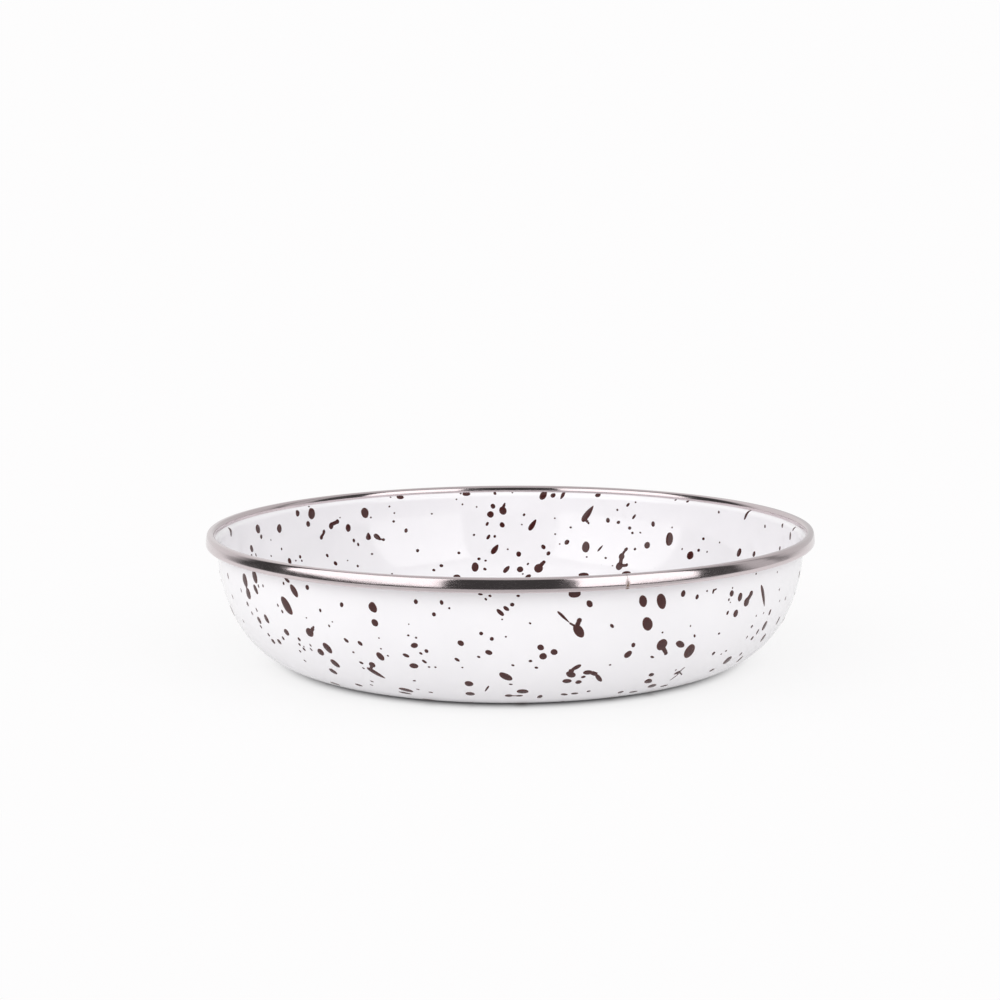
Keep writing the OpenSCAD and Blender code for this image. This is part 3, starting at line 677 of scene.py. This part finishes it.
# Drops that ran together: the places of the two, in degrees to the right of the front or back middle
# and percent up the wall, and the width of the neck in mm
OUTSIDE_NECKS = [
    (-57.5, 91.2, -56.8, 83.6, 1.6), (-39.3, 68.6, -38, 72.3, 1.8), (8.7, 85.4, 11.4, 77.2, 0.9),
    (11.4, 77.2, 11.4, 83.2, 2.0), (11.6, 54.2, 10.8, 49.2, 2.4), (14, 50, 16.4, 45, 2.2),
    (27.7, 64.6, 29.1, 58.4, 1.9), (47.1, 82, 48.2, 86.4, 2.4), (34.2, 41.2, 35.1, 44.3, 0.8),
    (34.2, 41.2, 34.2, 36.6, 0.8), (34.2, 41.2, 35.8, 38.6, 0.8), (37.6, 92.2, 38.2, 93.2, 0.8),
    (-0.7, 30.7, 1.4, 30.5, 0.9), (-26.7, 52.4, -26.6, 46.1, 1.4),
]
INSIDE_NECKS = [
    (-43.9, 87.7, -42.1, 90, 2.2), (-46.2, 84, -47.1, 80.6, 1.6), (-31.9, 75.8, -30.4, 73.5, 1.0),
    (7.4, 47.2, 8.6, 52.2, 2.4), (18.6, 89.4, 18.8, 82.6, 1.6), (28.7, 64.9, 27.9, 59.5, 1.5),
    (27.9, 59.5, 27.8, 52.1, 2.2), (27.8, 52.1, 29.6, 53.4, 1.9), (-1.3, 90.5, -0.9, 95.4, 1.6),
]


SPLATTER_SEED = 7


def nearest(found, azimuth, percent, face):
    """The drop nearest to a place given as in the lists of necks."""
    run = percent / 100 * face.wall_run
    away = [math.hypot((d[0] - math.radians(azimuth)) * NECK_R, d[1] - run) for d in found]
    return found[int(np.argmin(away))]


# The run up the inside at which the band's inner lip covers the coat
lip_run = outside.wall_run + (FLARE_RADIUS + WALL_THICKNESS) * math.acos(
    (NECK_R + FLARE_RADIUS - strip_face(0, BAND_STEPS)[0][0]) / (FLARE_RADIUS + WALL_THICKNESS))

for node, face, name, band_run, necks in (
        ("splatter_outside", outside, "drops_outside", outside.wall_run, OUTSIDE_NECKS),
        ("splatter_inside", inside, "drops_inside", lip_run, INSIDE_NECKS)):
    luck = random.Random(SPLATTER_SEED)
    drops = Drops(face, band_run)
    found = [read_drop(face, points) for points in islands(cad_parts[node].data)]
    for drop in found:
        drops.oval(*drop, luck)
    for azimuth, percent, other_azimuth, other_percent, width in necks:
        one = nearest(found, azimuth, percent, face)
        other = nearest(found, other_azimuth, other_percent, face)
        drops.neck(one, other, width)
    settle(drops.piece(name), node, brown)

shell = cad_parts["steel_shell"]
shell.data.materials.clear()
shell.data.materials.append(pressed_steel())


# Stage

FLOOR_HALF = 30.0
# The table lies this far under the resting face (m)
FLOOR_DROP = 0.00002
BACKGROUND = (0.985, 0.98, 0.982, 1)


def smooth(nodes, links, source, from_low, from_high, low=0.0, high=1.0):
    made = nodes.new("ShaderNodeMapRange")
    made.interpolation_type = "SMOOTHSTEP"
    made.inputs["From Min"].default_value = from_low
    made.inputs["From Max"].default_value = from_high
    made.inputs["To Min"].default_value = low
    made.inputs["To Max"].default_value = high
    links.new(source, made.inputs["Value"])
    return made.outputs["Result"]


# What metal and gloss see of the room: degrees to the right of the front, and strength
ROOM = [
    (-180, 0.75), (-170, 0.85), (-128, 0.85), (-121, 0.75), (-117, 0.5), (-112, 0.3), (-109, 0.06),
    (-75, 0.06), (-24, 0.1), (-20, 0.06), (20, 0.06), (24, 0.1), (60, 0.1), (66, 0.06), (88, 0.08),
    (92, 0.5), (96, 0.62), (105, 0.62), (108, 0.3), (112, 0.28), (116, 0.55), (125, 0.68), (172, 0.68),
    (180, 0.75),
]
CEILING = 0.65
# How steeply a direction must rise to see the ceiling, from its first trace to nothing else
CEILING_FROM = (0.72, 0.84)
# Levels of the soft light: the lamps, the dome overhead and the table's own glow, a painted light that
# lights the bowl from below
BOX_LEVEL = 1.62
DOME_TOP = 1.71
TABLE_GLOW = 0.32
TABLE_WHITE = 0.55
# Distances from the bowl's axis over which the table changes (m): its glow fades in past the foot, for the
# light and for the camera, the camera sees it pale near the foot and farther out, and gloss sees the room
# past its edge
GLOW_FADE = (0.0985, 0.1105)
SEEN_GLOW_FADE = (0.098, 0.122)
NEAR_PALING = (0.1003, 0.112)
FAR_PALING = (0.112, 0.3)
NEAR_PALE = 0.75
TABLE_EDGE = (0.55, 0.85)
# Gloss sees no glow in front of the bowl, from this y to that (m)
DULL_FRONT = (-0.2, -0.12)


def room_walls(nodes, links, x, y):
    """The room's strength in the direction of (x, y)."""
    turn = math_node(nodes, links, "ARCTAN2", x, math_node(nodes, links, "MULTIPLY", y, -1.0))
    place = spread(nodes, links, turn, 0.0, 1.0, -math.pi, math.pi)
    return ramp(nodes, links, place, [((angle + 180) / 360, (value,) * 3) for angle, value in ROOM])


def floor_material():
    """A white table that glows, a painted light from below. Gloss sees the room past its edge, and the
    camera sees it pale past the foot.
    """
    made, nodes, links, shader = material("floor_white")
    shader.inputs["Base Color"].default_value = (TABLE_WHITE, TABLE_WHITE, TABLE_WHITE, 1)
    shader.inputs["Roughness"].default_value = 0.7
    shader.inputs["Specular IOR Level"].default_value = 0.2
    place = nodes.new("ShaderNodeNewGeometry").outputs["Position"]
    axes = nodes.new("ShaderNodeSeparateXYZ")
    links.new(place, axes.inputs["Vector"])
    length = nodes.new("ShaderNodeVectorMath")
    length.operation = "LENGTH"
    links.new(place, length.inputs[0])
    away = length.outputs["Value"]
    shader.inputs["Emission Color"].default_value = (1, 1, 1, 1)
    path = nodes.new("ShaderNodeLightPath")
    unseen = math_node(nodes, links, "SUBTRACT", 1.0, path.outputs["Is Camera Ray"])
    unseen = math_node(nodes, links, "MULTIPLY", unseen, smooth(nodes, links, away, *GLOW_FADE))
    clear = math_node(nodes, links, "MAXIMUM", smooth(nodes, links, away, *SEEN_GLOW_FADE), unseen)
    mirrored = math_node(nodes, links, "MULTIPLY", path.outputs["Is Glossy Ray"],
                         smooth(nodes, links, axes.outputs["Y"], *DULL_FRONT, 1.0, 0.0))
    clear = math_node(nodes, links, "MULTIPLY", clear, math_node(nodes, links, "SUBTRACT", 1.0, mirrored))
    # The table's glow is painted light: the floor emits it to light the bowl from below
    links.new(math_node(nodes, links, "MULTIPLY", clear, TABLE_GLOW), shader.inputs["Emission Strength"])
    room = nodes.new("ShaderNodeEmission")
    links.new(room_walls(nodes, links, axes.outputs["X"], axes.outputs["Y"]), room.inputs["Color"])
    table = nodes.new("ShaderNodeMixShader")
    links.new(math_node(nodes, links, "MULTIPLY", smooth(nodes, links, away, *TABLE_EDGE),
                        path.outputs["Is Glossy Ray"]), table.inputs["Fac"])
    links.new(shader.outputs["BSDF"], table.inputs[1])
    links.new(room.outputs["Emission"], table.inputs[2])
    pale = math_node(nodes, links, "ADD", smooth(nodes, links, away, *NEAR_PALING, 0.0, NEAR_PALE),
                     smooth(nodes, links, away, *FAR_PALING, 0.0, 1 - NEAR_PALE))
    white = nodes.new("ShaderNodeEmission")
    white.inputs["Color"].default_value = BACKGROUND
    mixed = nodes.new("ShaderNodeMixShader")
    links.new(math_node(nodes, links, "MULTIPLY", pale, path.outputs["Is Camera Ray"]), mixed.inputs["Fac"])
    links.new(table.outputs["Shader"], mixed.inputs[1])
    links.new(white.outputs["Emission"], mixed.inputs[2])
    links.new(mixed.outputs["Shader"], nodes["Material Output"].inputs["Surface"])
    return made


floor_mesh = bpy.data.meshes.new("floor")
floor_sides = ((-1, -1), (1, -1), (1, 1), (-1, 1))
floor_corners = [(x * FLOOR_HALF, y * FLOOR_HALF, -FLOOR_DROP) for x, y in floor_sides]
floor_mesh.from_pydata(floor_corners, [], [(0, 1, 2, 3)])
floor = bpy.data.objects.new("floor", floor_mesh)
bpy.context.scene.collection.objects.link(floor)
floor.data.materials.append(floor_material())


def softbox(name, side, distance, height, width, tall):
    """A square-on lamp: side in degrees to the right of the front, in metres."""
    lamp = bpy.data.lights.new(name, "AREA")
    lamp.shape = "RECTANGLE"
    lamp.size, lamp.size_y = width, tall
    lamp.energy = BOX_LEVEL * math.pi * width * tall
    made = bpy.data.objects.new(name, lamp)
    bpy.context.scene.collection.objects.link(made)
    turn = math.radians(side)
    made.location = (distance * math.sin(turn), -distance * math.cos(turn), height)
    made.rotation_euler = (math.radians(90), 0, turn)
    made.visible_camera = False


softbox("softbox_right", side=44, distance=1.1, height=0.65, width=0.9, tall=1.2)
softbox("softbox_left", side=-53, distance=1.1, height=0.67, width=1.27, tall=1.2)

world = bpy.data.worlds.new("studio")
bpy.context.scene.world = world
world.use_nodes = True
nodes, links = world.node_tree.nodes, world.node_tree.links
nodes.clear()
way = nodes.new("ShaderNodeSeparateXYZ")
links.new(nodes.new("ShaderNodeTexCoord").outputs["Generated"], way.inputs["Vector"])
room = nodes.new("ShaderNodeMix")
room.data_type = "RGBA"
links.new(smooth(nodes, links, way.outputs["Z"], *CEILING_FROM), room.inputs["Factor"])
links.new(room_walls(nodes, links, way.outputs["X"], way.outputs["Y"]), room.inputs["A"])
room.inputs["B"].default_value = (CEILING, CEILING, CEILING, 1)
shown = nodes.new("ShaderNodeBackground")
links.new(room.outputs["Result"], shown.inputs["Color"])
dome = nodes.new("ShaderNodeBackground")
links.new(spread(nodes, links, way.outputs["Z"], 0.0, DOME_TOP), dome.inputs["Strength"])
plain = nodes.new("ShaderNodeBackground")
plain.inputs["Color"].default_value = BACKGROUND
path = nodes.new("ShaderNodeLightPath")
lit = nodes.new("ShaderNodeMixShader")
links.new(path.outputs["Is Glossy Ray"], lit.inputs["Fac"])
links.new(dome.outputs["Background"], lit.inputs[1])
links.new(shown.outputs["Background"], lit.inputs[2])
chosen = nodes.new("ShaderNodeMixShader")
links.new(path.outputs["Is Camera Ray"], chosen.inputs["Fac"])
links.new(lit.outputs["Shader"], chosen.inputs[1])
links.new(plain.outputs["Background"], chosen.inputs[2])
links.new(chosen.outputs["Shader"], nodes.new("ShaderNodeOutputWorld").inputs["Surface"])

# The camera's place, from the photograph's perspective
CAMERA_PLACE = (-0.00458, -0.8288, 0.1869)
CAMERA_TILT = 82.066
CAMERA_ROLL = -0.292
CAMERA_LENS = 64.8
CAMERA_SENSOR = 36.0

camera_data = bpy.data.cameras.new("camera")
camera_data.lens = CAMERA_LENS
camera_data.sensor_width = CAMERA_SENSOR
camera = bpy.data.objects.new("camera", camera_data)
bpy.context.scene.collection.objects.link(camera)
camera.matrix_world = (Matrix.Translation(CAMERA_PLACE) @ Matrix.Rotation(math.radians(CAMERA_TILT), 4, "X")
                       @ Matrix.Rotation(math.radians(CAMERA_ROLL), 4, "Z"))
bpy.context.scene.camera = camera
bpy.context.scene.view_settings.view_transform = "Standard"

bpy.context.view_layer.update()
